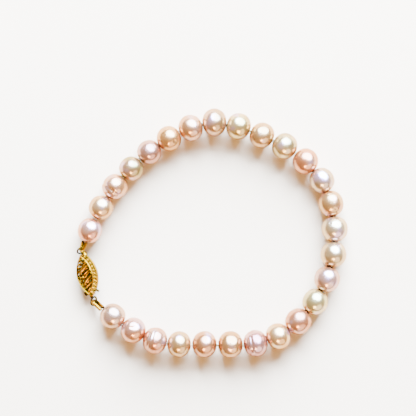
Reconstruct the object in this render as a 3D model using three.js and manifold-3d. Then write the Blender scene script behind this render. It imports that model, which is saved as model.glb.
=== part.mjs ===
// A knotted freshwater pearl bracelet, closed by a pierced gold clasp and laid on a table.
// Millimetres, +Z up, the table at z = 0 and the middle of the bracelet over the origin.

import * as THREE from 'three';
import { mergeVertices } from 'three/addons/utils/BufferGeometryUtils.js';
import Module from 'manifold-3d';

const wasm = await Module();
wasm.setup();

// Pearls and thread
const PEARL_ACROSS = 6.62;
const PEARL_ALONG = 6.0;
const PEARL_FULLNESS = 2.12;
const HOLE_DIAMETER = 0.9;
const THREAD_DIAMETER = 0.5;
const KNOT_DIAMETER = 1.0;
const KNOT_LENGTH = 0.5;
const KNOT_CLEARANCE = 0.07;

// Loops of gold gimp over the thread at the two ends of the string
const GIMP_DIAMETER = 0.82;
const GIMP_TOP_LENGTH = 1.7;
const GIMP_BOTTOM_LENGTH = 2.45;
const GIMP_CLEARANCE = 0.12;
const GIMP_FOOT_GAP = 0.2;
const GIMP_LEG_GAP = 0.04;
const GIMP_SWELL = 0.12;
const GIMP_MIDDLE = 0.55;

// Clasp box: a pointed oval with two openwork faces, lying rolled towards the outside
const CLASP_LENGTH = 11.2;
const CLASP_WIDTH = 5.4;
const CLASP_THICKNESS = 3.2;
const CLASP_ROLL = 22;
const FACE_INSET = 0.6;
const TIP_SHARE = 1.25;
const FACE_RISE = 0.35;
const RIM_WIRE = 0.34;
const WALL = 0.26;
const WINDOW_WIDTH = 0.7;
const WINDOW_PITCH = 1.3;
const WINDOW_ROW = 0.74;
const BAR_WIRE = 0.42;
const BAR_ANGLE = 52;
const SCROLL_DIAMETER = 1.2;
const SCROLL_WIRE = 0.26;
const SCROLL_SINK = 0.05;
const NECK_LENGTH = 0.3;
const NECK_WIDTH = 1.3;
const NECK_TIP = 0.6;
const NECK_FLATNESS = 0.8;
const NECK_SIDE = 0.65;
const RING_REACH = 1.25;
const RING_SIDE = 0.15;
const RING_DIAMETER = 2.0;
const RING_WIRE = 0.32;
const RING_TILT = 35;
const RING_LEAN = -15;
const PEG_PLACE = 0.7;
const PEG_LENGTH = 1.25;
const PEG_ANGLE = 50;

// Mouth of the box, catch bar and hook
const MOUTH_LENGTH = 2.3;
const MOUTH_CLEARANCE = 0.18;
const CATCH_WIRE = 0.46;
const CATCH_CLEARANCE = 0.16;
const TONGUE_WIDTH = 1.0;
const TONGUE_THICKNESS = 0.28;
const TONGUE_PROUD = 0.2;
const STEM_REACH = 0.35;
const STEM_WIDTH = 0.5;
const TAB_REACH = 1.0;
const TAB_WIDTH = 1.0;
const EYE_REACH = 1.86;
const EYE_SIDE = 0.38;
const EYE_LENGTH = 2.9;
const EYE_WIDTH = 1.9;
const EYE_WIRE = 0.38;
const EYE_TILT = 30;

// How finely shapes are divided
const PEARL_SIDES = 12;
const PEARL_BANDS = 8;
const WIRE_SIDES = 6;
const FINE_SIDES = 5;
const PEG_SIDES = 8;
const OVAL_STEPS = 8;
const RING_STEPS = 16;
const GIMP_STEPS = 18;
const BAR_STEPS = 6;
const LINE_STEPS = 60;
const SAME_POINT = 1e-4;

// Each pearl, clockwise from the clasp: its size across and along the thread, as shares of
// PEARL_ACROSS and PEARL_ALONG, and the slack before the next knot, as a share of KNOT_LENGTH
const PEARLS = [
  { across: 0.94, along: 0.99, slack: 0.55 },
  { across: 0.94, along: 0.96, slack: 0.8 },
  { across: 0.97, along: 1.01, slack: 0 },
  { across: 0.94, along: 0.96, slack: 0.25 },
  { across: 0.94, along: 0.96, slack: 0 },
  { across: 0.98, along: 0.965, slack: 0.25 },
  { across: 1.02, along: 0.965, slack: 0 },
  { across: 1.08, along: 0.98, slack: 0.6 },
  { across: 1.03, along: 0.995, slack: 0 },
  { across: 1.0, along: 0.98, slack: 0.6 },
  { across: 1.02, along: 1.0, slack: 0.2 },
  { across: 1.0, along: 1.01, slack: 0.55 },
  { across: 0.96, along: 1.01, slack: 0 },
  { across: 0.96, along: 1.04, slack: 0 },
  { across: 1.01, along: 1.025, slack: 0 },
  { across: 1.01, along: 1.04, slack: 0 },
  { across: 0.99, along: 1.055, slack: 0 },
  { across: 0.98, along: 1.04, slack: 0 },
  { across: 1.0, along: 1.045, slack: 0 },
  { across: 1.02, along: 0.98, slack: 0 },
  { across: 1.04, along: 0.98, slack: 0 },
  { across: 1.04, along: 1.01, slack: 0.55 },
  { across: 1.02, along: 0.99, slack: 0.55 },
  { across: 1.02, along: 0.955, slack: 0.6 },
  { across: 1.04, along: 0.98, slack: 0 },
  { across: 1.0, along: 0.99, slack: 0 },
  { across: 0.98, along: 1.01, slack: 0 },
];

// The way the string lies, in points chosen by hand from the clasp's ring round to its hook.
// The line through them is made larger or smaller until the string and the clasp close it.
const ROUTE = [
  [-32.7, -4.2],
  [-32.1, -2.7],
  [-29.6, 2.8],
  [-26.6, 8.7],
  [-22.6, 13.6],
  [-13.5, 22.0],
  [-8.1, 24.9],
  [-2.5, 27.3],
  [3.5, 27.8],
  [9.8, 25.1],
  [15.6, 23.2],
  [21.0, 19.7],
  [26.1, 15.6],
  [29.3, 9.8],
  [31.0, -2.6],
  [27.7, -15.2],
  [19.3, -24.8],
  [14.0, -27.7],
  [8.0, -28.4],
  [-1.6, -28.2],
  [-11.3, -28.3],
  [-17.5, -26.4],
  [-22.7, -22.9],
  [-27.6, -19.4],
  [-29.5, -17.9],
];

// A knot along the thread, from its middle, as shares of KNOT_LENGTH
const KNOT_PROFILE = [
  { at: -0.5, diameter: THREAD_DIAMETER },
  { at: -0.2, diameter: KNOT_DIAMETER },
  { at: 0.2, diameter: KNOT_DIAMETER },
  { at: 0.5, diameter: THREAD_DIAMETER },
];

// Bars of each face: where they cross its middle, as a share of its half length.
const BARS = [-0.36, -0.19, 0.37, 0.54];

// Scrolls of each face, each soldered to the side of a bar: which bar, the side towards the
// hook (1) or the ring (-1), and how far along it, as a share of the bar from its inner end
const SCROLLS = [
  { bar: 0, side: -1, along: 0.5 },
  { bar: 0, side: -1, along: 0.9 },
  { bar: 1, side: 1, along: 0.22 },
  { bar: 1, side: 1, along: 0.55 },
  { bar: 2, side: -1, along: 0.3 },
  { bar: 2, side: -1, along: 0.62 },
  { bar: 3, side: 1, along: 0.5 },
];

const rad = THREE.MathUtils.degToRad;
const v3 = (x, y, z) => new THREE.Vector3(x, y, z);

const finishes = {
  pearl: { color: 0xe9d5c8, roughness: 0.22, metalness: 0.1 },
  silk: { color: 0xe8dccb, roughness: 0.8, metalness: 0.0 },
  gold: { color: 0xd9a441, roughness: 0.25, metalness: 1.0 },
};
const finish = (name) => new THREE.MeshStandardMaterial(finishes[name]);

const object = new THREE.Group();

function add(name, geometry, finishName, parent = object) {
  const mesh = new THREE.Mesh(geometry, finish(finishName));
  mesh.name = name;
  parent.add(mesh);
  return mesh;
}

// Solids for joining and cutting

function solid(geometry, place = new THREE.Matrix4()) {
  const bare = geometry.clone();
  bare.deleteAttribute('normal');
  bare.deleteAttribute('uv');
  const merged = mergeVertices(bare, SAME_POINT).applyMatrix4(place);
  return new wasm.Manifold(new wasm.Mesh({
    numProp: 3,
    vertProperties: new Float32Array(merged.attributes.position.array),
    triVerts: new Uint32Array(merged.index.array),
  }));
}

function joined(solids) {
  return solids.reduce((sum, next) => sum.add(next));
}

function geometryOf(body) {
  const mesh = body.getMesh();
  const geometry = new THREE.BufferGeometry();
  geometry.setAttribute('position', new THREE.BufferAttribute(mesh.vertProperties, mesh.numProp));
  geometry.setIndex(new THREE.BufferAttribute(mesh.triVerts, 1));
  return geometry;
}

// A rod of round section between two points
function rod(from, to, diameter, sides = WIRE_SIDES) {
  const along = to.clone().sub(from);
  const place = new THREE.Matrix4().compose(
    from.clone().add(to).multiplyScalar(0.5),
    new THREE.Quaternion().setFromUnitVectors(v3(0, 1, 0), along.clone().normalize()),
    v3(1, 1, 1),
  );
  return solid(new THREE.CylinderGeometry(diameter / 2, diameter / 2, along.length(), sides), place);
}

function sectionShape(diameter, sides = WIRE_SIDES) {
  const shape = new THREE.Shape();
  for (let i = 0; i < sides; i += 1) {
    const angle = (2 * Math.PI * (i + 0.5)) / sides;
    const point = [Math.cos(angle) * diameter / 2, Math.sin(angle) * diameter / 2];
    if (i === 0) shape.moveTo(...point);
    else shape.lineTo(...point);
  }
  return shape;
}

// Wire bent along a curve
function wire(curve, diameter, steps, sides = WIRE_SIDES) {
  return new THREE.ExtrudeGeometry(sectionShape(diameter, sides), {
    steps,
    bevelEnabled: false,
    extrudePath: curve,
  });
}

// A closed surface through rings of as many points each: closed on itself as a band, or with
// its two ends covered
function ringGrid(rings, closed) {
  const count = rings[0].length;
  const index = [];
  const spans = closed ? rings.length : rings.length - 1;
  for (let r = 0; r < spans; r += 1) {
    const next = (r + 1) % rings.length;
    for (let i = 0; i < count; i += 1) {
      const j = (i + 1) % count;
      index.push(r * count + i, r * count + j, next * count + j);
      index.push(r * count + i, next * count + j, next * count + i);
    }
  }
  const geometry = new THREE.BufferGeometry().setFromPoints(rings.flat());
  return { geometry, index, count };
}

function band(rings) {
  const { geometry, index } = ringGrid(rings, true);
  return geometry.setIndex(index);
}

function skin(rings) {
  const { geometry, index, count } = ringGrid(rings, false);
  const end = (rings.length - 1) * count;
  for (let i = 1; i < count - 1; i += 1) {
    index.push(0, i + 1, i, end, end + i, end + i + 1);
  }
  return geometry.setIndex(index);
}

// The string as a closed chain of straight legs

// Half the length of a pearl, measured at the edge of its drilled hole
function mouthHalf(pearl) {
  const holeShare = HOLE_DIAMETER / (pearl.across * PEARL_ACROSS);
  return ((pearl.along * PEARL_ALONG) / 2) * (1 - holeShare ** PEARL_FULLNESS) ** (1 / PEARL_FULLNESS);
}

// From the middle of a knot to the mouths of the holes that it sits between
const knotSeat = (KNOT_LENGTH / 2) * Math.sqrt(Math.max(0, 1 - (HOLE_DIAMETER / KNOT_DIAMETER) ** 2))
  + KNOT_CLEARANCE;

const ringContact = v3(-(CLASP_LENGTH / 2 + RING_REACH), RING_SIDE, 0);
const eyeContact = v3(CLASP_LENGTH / 2 + EYE_REACH, EYE_SIDE, -(CATCH_WIRE / 2 + CATCH_CLEARANCE));
const claspRun = Math.hypot(eyeContact.x - ringContact.x, eyeContact.y - ringContact.y);

function routeLine(scale) {
  const points = ROUTE.map(([x, y]) => v3(x * scale, y * scale, 0));
  return new THREE.CatmullRomCurve3(points, true, 'centripetal').getPoints(ROUTE.length * LINE_STEPS);
}

// Steps legs of given lengths along the line, end to end.
function walk(line, legs) {
  const stops = [line[0]];
  let index = 1;
  for (const leg of legs) {
    const from = stops.at(-1);
    while (index < line.length - 1 && line[index].distanceTo(from) < leg) index += 1;
    const near = line[index - 1].distanceTo(from);
    const far = line[index].distanceTo(from);
    const share = far > leg ? (leg - near) / (far - near) : 1;
    stops.push(line[index - 1].clone().lerp(line[index], share));
  }
  return stops;
}

// The largest value from low to high that still fits, found by halving
function largest(low, high, fits) {
  for (let i = 0; i < 40; i += 1) {
    const middle = (low + high) / 2;
    if (fits(middle)) low = middle;
    else high = middle;
  }
  return low;
}

// The stops on the route, made as large as lets the clasp span from the last to the first
function closedChain(legs, closing) {
  const scale = largest(0.3, 3, (size) => {
    const stops = walk(routeLine(size), legs);
    return stops.at(-1).distanceTo(stops[0]) <= closing;
  });
  return walk(routeLine(scale), legs);
}

const legs = [
  GIMP_TOP_LENGTH,
  ...PEARLS.map((pearl) => 2 * (mouthHalf(pearl) + knotSeat) + pearl.slack * KNOT_LENGTH),
  GIMP_BOTTOM_LENGTH,
];
const stops = closedChain(legs, claspRun);
const ringStop = stops[0];
const hookStop = stops.at(-1);
const knotStops = stops.slice(1, -1);

const pearlPlaces = PEARLS.map((pearl, i) => {
  const centre = knotStops[i].clone().add(knotStops[i + 1]).multiplyScalar(0.5);
  centre.z = (pearl.across * PEARL_ACROSS) / 2;
  const axis = knotStops[i + 1].clone().sub(knotStops[i]).normalize();
  return { centre, axis };
});

// Half of a pearl's section beside its drill axis, closed round the hole and turned about it
function pearlGeometry(pearl) {
  const hole = HOLE_DIAMETER / 2;
  const radius = (pearl.across * PEARL_ACROSS) / 2;
  const half = (pearl.along * PEARL_ALONG) / 2;
  const power = 2 / PEARL_FULLNESS;
  const start = Math.asin((hole / radius) ** (1 / power));
  const profile = [];
  for (let i = 0; i <= PEARL_BANDS; i += 1) {
    const angle = start + ((Math.PI - 2 * start) * i) / PEARL_BANDS;
    const up = -Math.sign(Math.cos(angle)) * half * Math.abs(Math.cos(angle)) ** power;
    profile.push(new THREE.Vector2(radius * Math.sin(angle) ** power, up));
  }
  profile.push(profile[0].clone());
  return new THREE.LatheGeometry(profile, PEARL_SIDES);
}

function makePearls() {
  PEARLS.forEach((pearl, i) => {
    const mesh = add(`pearl_${String(i + 1).padStart(2, '0')}`, pearlGeometry(pearl), 'pearl');
    mesh.quaternion.setFromUnitVectors(v3(0, 1, 0), pearlPlaces[i].axis);
    mesh.position.copy(pearlPlaces[i].centre);
  });
}

// A point on a pearl's drill axis, at one end of its hole or this far out from it
function holeMouth(index, side, out = 0) {
  const { centre, axis } = pearlPlaces[index];
  return centre.clone().addScaledVector(axis, side * (mouthHalf(PEARLS[index]) + out));
}

// Silk thread: a straight run through each pearl's hole, and a knot in each gap
function makeThread() {
  const bends = knotStops.map((stop, i) => {
    const before = pearlPlaces[Math.max(i - 1, 0)].centre.z;
    const after = pearlPlaces[Math.min(i, PEARLS.length - 1)].centre.z;
    return v3(stop.x, stop.y, (before + after) / 2);
  });
  const last = bends.length - 1;
  bends[0] = holeMouth(0, -1);
  bends[last] = holeMouth(PEARLS.length - 1, 1);
  const rings = [];
  const ringAt = (centre, along, diameter) => {
    const side = v3(-along.y, along.x, 0).normalize();
    const up = along.clone().normalize().cross(side);
    const ring = [];
    for (let i = 0; i < WIRE_SIDES; i += 1) {
      const angle = (2 * Math.PI * i) / WIRE_SIDES;
      const point = centre.clone().addScaledVector(side, (Math.cos(angle) * diameter) / 2);
      ring.push(point.addScaledVector(up, (Math.sin(angle) * diameter) / 2));
    }
    rings.push(ring);
  };
  bends.forEach((bend, i) => {
    const along = bends[Math.min(i + 1, last)].clone().sub(bends[Math.max(i - 1, 0)]).normalize();
    if (i === 0 || i === last) {
      ringAt(bend, along, THREAD_DIAMETER);
      return;
    }
    for (const { at, diameter } of KNOT_PROFILE) {
      ringAt(bend.clone().addScaledVector(along, at * KNOT_LENGTH), along, diameter);
    }
  });
  add('thread', skin(rings), 'silk');
}

// The clasp's own frame: x from the ring to the hook, y to the inside of the bracelet, z out
// of its upper face

const faceLength = CLASP_LENGTH - 2 * FACE_INSET;
const faceWidth = CLASP_WIDTH - 2 * FACE_INSET;

// A pointed oval made of two arcs: the radius of an arc, and its half width at x
const arcRadius = (length, width) => ((length / 2) ** 2 + (width / 2) ** 2) / width;

function halfWidthAt(x, length, width) {
  const radius = arcRadius(length, width);
  return Math.sqrt(Math.max(0, radius ** 2 - x ** 2)) - (radius - width / 2);
}

// Points along one side of the oval, tip to tip
function ovalSide(length, width, z, side, steps) {
  const radius = arcRadius(length, width);
  const sweep = Math.asin(length / 2 / radius);
  const points = [];
  for (let i = 0; i <= steps; i += 1) {
    const angle = -sweep + (2 * sweep * i) / steps;
    points.push(v3(radius * Math.sin(angle), side * (radius * Math.cos(angle) - radius + width / 2), z));
  }
  return points;
}

// One ring of the box's wall, this far in from the widest outline
function ovalRing({ inset, z }) {
  const length = CLASP_LENGTH - 2 * inset * TIP_SHARE;
  const width = CLASP_WIDTH - 2 * inset;
  const there = ovalSide(length, width, z, 1, OVAL_STEPS).slice(0, -1);
  const back = ovalSide(length, width, z, -1, OVAL_STEPS).reverse().slice(0, -1);
  return [...there, ...back];
}

// The wall of the box all round, with a rim at its waist and at each face
function wall() {
  const r = RIM_WIRE / 2;
  const top = CLASP_THICKNESS / 2;
  const slope = (z) => (FACE_INSET * z) / top;
  const upper = [
    { inset: FACE_INSET + r, z: top },
    { inset: FACE_INSET, z: top + r },
    { inset: FACE_INSET - r, z: top },
    { inset: slope(top - r), z: top - r },
    { inset: slope(r), z: r },
  ];
  const lower = upper.map(({ inset, z }) => ({ inset, z: -z })).reverse();
  const section = [
    ...upper,
    { inset: -r, z: 0 },
    ...lower,
    { inset: WALL + slope(top - r), z: r - top },
    { inset: WALL, z: 0 },
    { inset: WALL + slope(top - r), z: top - r },
  ];
  return solid(band(section.map(ovalRing)));
}

// Windows in rows down the sloping walls, between the rims
function windows() {
  const count = Math.floor((WINDOW_ROW * CLASP_LENGTH) / WINDOW_PITCH);
  const holes = [];
  for (const up of [1, -1]) {
    for (const side of [1, -1]) {
      for (let i = 0; i < count; i += 1) {
        const x = (i - (count - 1) / 2) * WINDOW_PITCH;
        const y = side * (halfWidthAt(x, CLASP_LENGTH, CLASP_WIDTH) - (FACE_INSET + WALL) / 2);
        const centre = v3(x, y, (up * CLASP_THICKNESS) / 4);
        const out = v3(0, side * CLASP_THICKNESS, 2 * up * FACE_INSET).setLength(2 * WALL);
        holes.push(rod(centre.clone().sub(out), centre.clone().add(out), WINDOW_WIDTH, FINE_SIDES));
      }
    }
  }
  return joined(holes);
}

// Height of the domed face over the middle of the box
function faceHeight(x, y) {
  const half = Math.max(halfWidthAt(x, faceLength, faceWidth), RIM_WIRE);
  const crown = Math.max(0, 1 - (y / half) ** 2) * Math.max(0, 1 - ((2 * x) / faceLength) ** 2);
  return CLASP_THICKNESS / 2 + FACE_RISE * crown;
}

// The line of a slanting bar over the face, from rim to rim, in a flat S
const barWay = v3(-Math.cos(rad(BAR_ANGLE)), Math.sin(rad(BAR_ANGLE)), 0);
const barSide = v3(barWay.y, -barWay.x, 0);

function barLine(share) {
  const crossing = v3((share * faceLength) / 2, 0, 0);
  const [inner, outer] = [-1, 1].map((side) => side * largest(0, faceWidth, (reach) => {
    const point = crossing.clone().addScaledVector(barWay, side * reach);
    return Math.abs(point.x) < faceLength / 2
      && Math.abs(point.y) < halfWidthAt(point.x, faceLength, faceWidth);
  }));
  return (step) => {
    const point = crossing.clone().addScaledVector(barWay, inner + (outer - inner) * step);
    return point.addScaledVector(barSide, (BAR_WIRE / 2) * Math.sin(-2 * Math.PI * step));
  };
}

function bar(share, up) {
  const line = barLine(share);
  const points = [];
  for (let i = 0; i <= BAR_STEPS; i += 1) {
    const point = line(i / BAR_STEPS);
    point.z = up * faceHeight(point.x, point.y);
    points.push(point);
  }
  return solid(wire(new THREE.CatmullRomCurve3(points), BAR_WIRE, BAR_STEPS, FINE_SIDES));
}

// A ring of fine wire lying on the face
function scroll({ x, y }, up) {
  const ring = new THREE.TorusGeometry((SCROLL_DIAMETER - SCROLL_WIRE) / 2, SCROLL_WIRE / 2, 4, 8);
  const slope = (2 * FACE_RISE * y) / (faceWidth / 2) ** 2;
  const lean = new THREE.Quaternion().setFromUnitVectors(v3(0, 0, up), v3(0, slope, up).normalize());
  const middle = v3(x, y, up * (faceHeight(x, y) - SCROLL_SINK));
  return solid(ring, new THREE.Matrix4().compose(middle, lean, v3(1, 1, 1)));
}

// A scroll as wide as the face is near its tip, held by both sides of the rim
function tipScroll(up) {
  const radius = arcRadius(faceLength, faceWidth);
  const rise = radius - faceWidth / 2 + SCROLL_DIAMETER / 2;
  return scroll({ x: -Math.sqrt(radius ** 2 - rise ** 2), y: 0 }, up);
}

function face(up) {
  return joined([
    ...BARS.map((share) => bar(share, up)),
    ...SCROLLS.map((place) => {
      const by = barLine(BARS[place.bar])(place.along);
      return scroll(by.addScaledVector(barSide, (place.side * SCROLL_DIAMETER) / 2), up);
    }),
    tipScroll(up),
  ]);
}

const mouthStart = CLASP_LENGTH / 2 - MOUTH_LENGTH;
const leafInner = CATCH_WIRE / 2 + CATCH_CLEARANCE;
const leafOuter = leafInner + TONGUE_THICKNESS;
const catchX = mouthStart - CATCH_WIRE;

// The pierced box with its catch bar, neck and peg, and the mouth that the hook goes in by
function claspShell() {
  const shell = joined([wall().subtract(windows()), face(1), face(-1)]);
  const mouthHeight = 2 * (leafOuter + MOUTH_CLEARANCE);
  const mouthRight = (TONGUE_WIDTH - TONGUE_PROUD) / 2;
  const mouth = new THREE.BoxGeometry(CLASP_LENGTH, CLASP_WIDTH, mouthHeight);
  mouth.translate(mouthStart + CLASP_LENGTH / 2, mouthRight - CLASP_WIDTH / 2, 0);

  const catchHalf = halfWidthAt(catchX, CLASP_LENGTH, CLASP_WIDTH) - WALL / 2;
  const catchBar = rod(v3(catchX, -catchHalf, 0), v3(catchX, catchHalf, 0), CATCH_WIRE);

  const pegX = (PEG_PLACE * CLASP_LENGTH) / 2;
  const pegFoot = v3(pegX, halfWidthAt(pegX, CLASP_LENGTH, CLASP_WIDTH) - WALL, 0);
  const pegWay = v3(Math.cos(rad(PEG_ANGLE)), Math.sin(rad(PEG_ANGLE)), 0);
  const pegEnd = pegFoot.clone().addScaledVector(pegWay, PEG_LENGTH);
  const peg = rod(pegFoot, pegEnd, CATCH_WIRE, PEG_SIDES);

  const neck = new THREE.CylinderGeometry(NECK_TIP / 2, NECK_WIDTH / 2, 2 * NECK_LENGTH, PEG_SIDES);
  neck.rotateZ(Math.PI / 2).scale(1, 1, NECK_FLATNESS).translate(-CLASP_LENGTH / 2, NECK_SIDE, 0);

  return joined([shell.subtract(solid(mouth)), catchBar, peg, solid(neck)]);
}

const stemEnd = v3(CLASP_LENGTH / 2 + STEM_REACH, -TONGUE_WIDTH / 2, -(leafInner + leafOuter) / 2);

// The folded hook: a leaf each side of the catch bar, a stem out of the mouth and a thumb tab
function hookShape() {
  const edgeAt = (x) => v3(x, -(halfWidthAt(x, CLASP_LENGTH, CLASP_WIDTH) + TONGUE_PROUD), 0);
  const half = TONGUE_WIDTH / 2;
  const innerSide = half - TONGUE_PROUD;
  const foldX = catchX - CATCH_WIRE / 2 - TONGUE_WIDTH;
  const outX = mouthStart + MOUTH_CLEARANCE;
  const middleX = (outX + CLASP_LENGTH / 2) / 2;
  const shoulder = edgeAt(middleX);
  const stemSide = v3(stemEnd.x, stemEnd.y - STEM_WIDTH / 2, 0);
  const outline = new THREE.Shape([
    v3(foldX, -half, 0),
    v3(outX, -half, 0),
    edgeAt(outX),
    shoulder,
    stemSide,
    v3(stemEnd.x + STEM_WIDTH / 2, stemEnd.y, 0),
    v3(stemEnd.x, stemEnd.y + STEM_WIDTH / 2, 0),
    v3(middleX, innerSide, 0),
    v3(foldX, innerSide, 0),
  ].map(({ x, y }) => new THREE.Vector2(x, y)));
  const lower = new THREE.ExtrudeGeometry(outline, { depth: TONGUE_THICKNESS, bevelEnabled: false });
  lower.translate(0, 0, -leafOuter);

  const width = TONGUE_WIDTH - TONGUE_PROUD;
  const upperLength = middleX - foldX;
  const upper = new THREE.BoxGeometry(upperLength, width, TONGUE_THICKNESS);
  upper.translate(foldX + upperLength / 2, -TONGUE_PROUD / 2, (leafInner + leafOuter) / 2);
  const fold = new THREE.BoxGeometry(TONGUE_THICKNESS, width, 2 * leafOuter);
  fold.translate(foldX + TONGUE_THICKNESS / 2, -TONGUE_PROUD / 2, 0);

  // The tab stands out square from the edge between the shoulder and the stem.
  const edgeWay = stemSide.clone().sub(shoulder).normalize();
  const tab = new THREE.BoxGeometry(TAB_WIDTH, TAB_REACH + STEM_WIDTH, TONGUE_THICKNESS);
  tab.translate(0, (STEM_WIDTH - TAB_REACH) / 2, TONGUE_THICKNESS / 2 - leafOuter);
  tab.rotateZ(Math.atan2(edgeWay.y, edgeWay.x)).translate(shoulder.x, shoulder.y, 0);
  return joined([lower, upper, fold, tab].map((part) => solid(part)));
}

// Where the clasp lies: turned onto the line between the ends of the string, rolled, and
// lifted until its lowest rim is on the table

function claspFrame(shell) {
  const span = hookStop.clone().sub(ringStop);
  const own = eyeContact.clone().sub(ringContact);
  const heading = Math.atan2(span.y, span.x) - Math.atan2(own.y, own.x);
  const turn = new THREE.Quaternion().setFromAxisAngle(v3(0, 0, 1), heading);
  turn.multiply(new THREE.Quaternion().setFromAxisAngle(v3(1, 0, 0), rad(CLASP_ROLL)));
  const frame = new THREE.Matrix4().compose(v3(0, 0, 0), turn, v3(1, 1, 1));
  const lowest = new THREE.Box3().setFromBufferAttribute(
    geometryOf(shell).applyMatrix4(frame).attributes.position,
  ).min.z;
  const ringAt = ringContact.clone().applyMatrix4(frame);
  frame.setPosition(ringStop.x - ringAt.x, ringStop.y - ringAt.y, -lowest);
  return frame;
}

// The pull of the string on a ring: from the contact to the foot of the gimp loop, with the
// sideways and upright directions that the ring and the loop are set out along
function pullOf(contact, pearlIndex, side) {
  const foot = holeMouth(pearlIndex, side, GIMP_FOOT_GAP);
  const pull = foot.clone().sub(contact).normalize();
  const flat = v3(-pull.y, pull.x, 0).normalize();
  return { contact, foot, pull, flat };
}

// Points round an oval ring through the contact, on the far side of it from the pull: leant
// in the flat from the pull's own line, and tilted about that
function ringPoints({ contact, pull, flat }, across, along, tilt, lean) {
  const upright = pull.clone().cross(flat);
  const back = pull.clone().applyAxisAngle(upright, rad(lean));
  const lie = flat.clone().applyAxisAngle(upright, rad(lean)).applyAxisAngle(back, rad(tilt));
  const centre = contact.clone().addScaledVector(back, -along / 2);
  const points = [];
  for (let i = 0; i < RING_STEPS; i += 1) {
    const angle = (2 * Math.PI * i) / RING_STEPS;
    const point = centre.clone().addScaledVector(back, (Math.cos(angle) * along) / 2);
    points.push(point.addScaledVector(lie, (Math.sin(angle) * across) / 2));
  }
  return points;
}

// A ring of wire in two halves, soldered to a foot by the shortest way
function ringOnFoot(points, foot, diameter) {
  const half = points.length / 2;
  const ways = [points.slice(0, half + 1), [...points.slice(half), points[0]]];
  const halves = ways.map((way) => solid(wire(new THREE.CatmullRomCurve3(way), diameter, half)));
  const nearest = points.reduce((best, point) => (
    point.distanceTo(foot) < best.distanceTo(foot) ? point : best
  ));
  return joined([...halves, rod(foot, nearest, diameter)]);
}

// A loop of gimp from the pearl, round the ring's wire and back
function gimpLoop({ contact, foot, pull, flat }, tilt, wireDiameter) {
  const stand = flat.clone().applyAxisAngle(pull, rad(tilt) + Math.PI / 2);
  if (stand.dot(flat) < 0) stand.negate();
  const bend = wireDiameter / 2 + GIMP_CLEARANCE + GIMP_DIAMETER / 2;
  const diagonal = bend * Math.SQRT1_2;
  const apart = (GIMP_DIAMETER + GIMP_LEG_GAP) / 2;
  const swell = apart + GIMP_SWELL / 2;
  const between = contact.clone().lerp(foot, GIMP_MIDDLE);
  const spread = flat.clone().add(stand).normalize();
  const points = [
    foot.clone().addScaledVector(flat, apart),
    between.clone().addScaledVector(spread, swell),
    contact.clone().addScaledVector(stand, bend),
    contact.clone().addScaledVector(stand, diagonal).addScaledVector(pull, -diagonal),
    contact.clone().addScaledVector(pull, -bend),
    contact.clone().addScaledVector(stand, -diagonal).addScaledVector(pull, -diagonal),
    contact.clone().addScaledVector(stand, -bend),
    between.clone().addScaledVector(spread, -swell),
    foot.clone().addScaledVector(flat, -apart),
  ];
  return wire(new THREE.CatmullRomCurve3(points), GIMP_DIAMETER, GIMP_STEPS);
}

function makeClasp() {
  const shell = claspShell();
  const frame = claspFrame(shell);
  const inverse = frame.clone().invert();
  const clasp = new THREE.Group();
  frame.decompose(clasp.position, clasp.quaternion, clasp.scale);
  object.add(clasp);

  const top = pullOf(ringContact.clone().applyMatrix4(frame), 0, -1);
  const bottom = pullOf(eyeContact.clone().applyMatrix4(frame), PEARLS.length - 1, 1);
  const inClasp = (points) => points.map((point) => point.applyMatrix4(inverse));

  const ringAcross = RING_DIAMETER - RING_WIRE;
  const ringWay = inClasp(ringPoints(top, ringAcross, ringAcross, RING_TILT, RING_LEAN));
  const ring = ringOnFoot(ringWay, v3(-CLASP_LENGTH / 2, 0, 0), RING_WIRE);
  add('clasp_body', geometryOf(shell.add(ring)), 'gold', clasp);

  const eyeAcross = EYE_LENGTH - EYE_WIRE;
  const eyeWay = inClasp(ringPoints(bottom, eyeAcross, EYE_WIDTH - EYE_WIRE, EYE_TILT, 0));
  const eye = ringOnFoot(eyeWay, stemEnd, EYE_WIRE);
  add('clasp_hook', geometryOf(hookShape().add(eye)), 'gold', clasp);

  add('gimp_top', gimpLoop(top, RING_TILT, RING_WIRE), 'gold');
  add('gimp_bottom', gimpLoop(bottom, EYE_TILT, EYE_WIRE), 'gold');
}

makePearls();
makeThread();
makeClasp();

// The middle of the bracelet goes over the origin.
object.updateMatrixWorld(true);
const middle = new THREE.Box3().setFromObject(object, true).getCenter(v3(0, 0, 0));
for (const child of object.children) {
  child.position.x -= middle.x;
  child.position.y -= middle.y;
}

export default object;
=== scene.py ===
# %% [markdown]
# # A knotted pearl bracelet with a pierced gold clasp
# Twenty-seven freshwater pearls are strung on silk with a knot in every gap. A hollow clasp
# of gold filigree closes the loop, and short coils of gold wire guard the silk at both ends.
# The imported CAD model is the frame: it says where each piece lies and how large it is. Here
# each piece gets its real surface. Everything is in metres, in the CAD's own frame.

import math

import bpy
from mathutils import Matrix, Vector, noise


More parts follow.
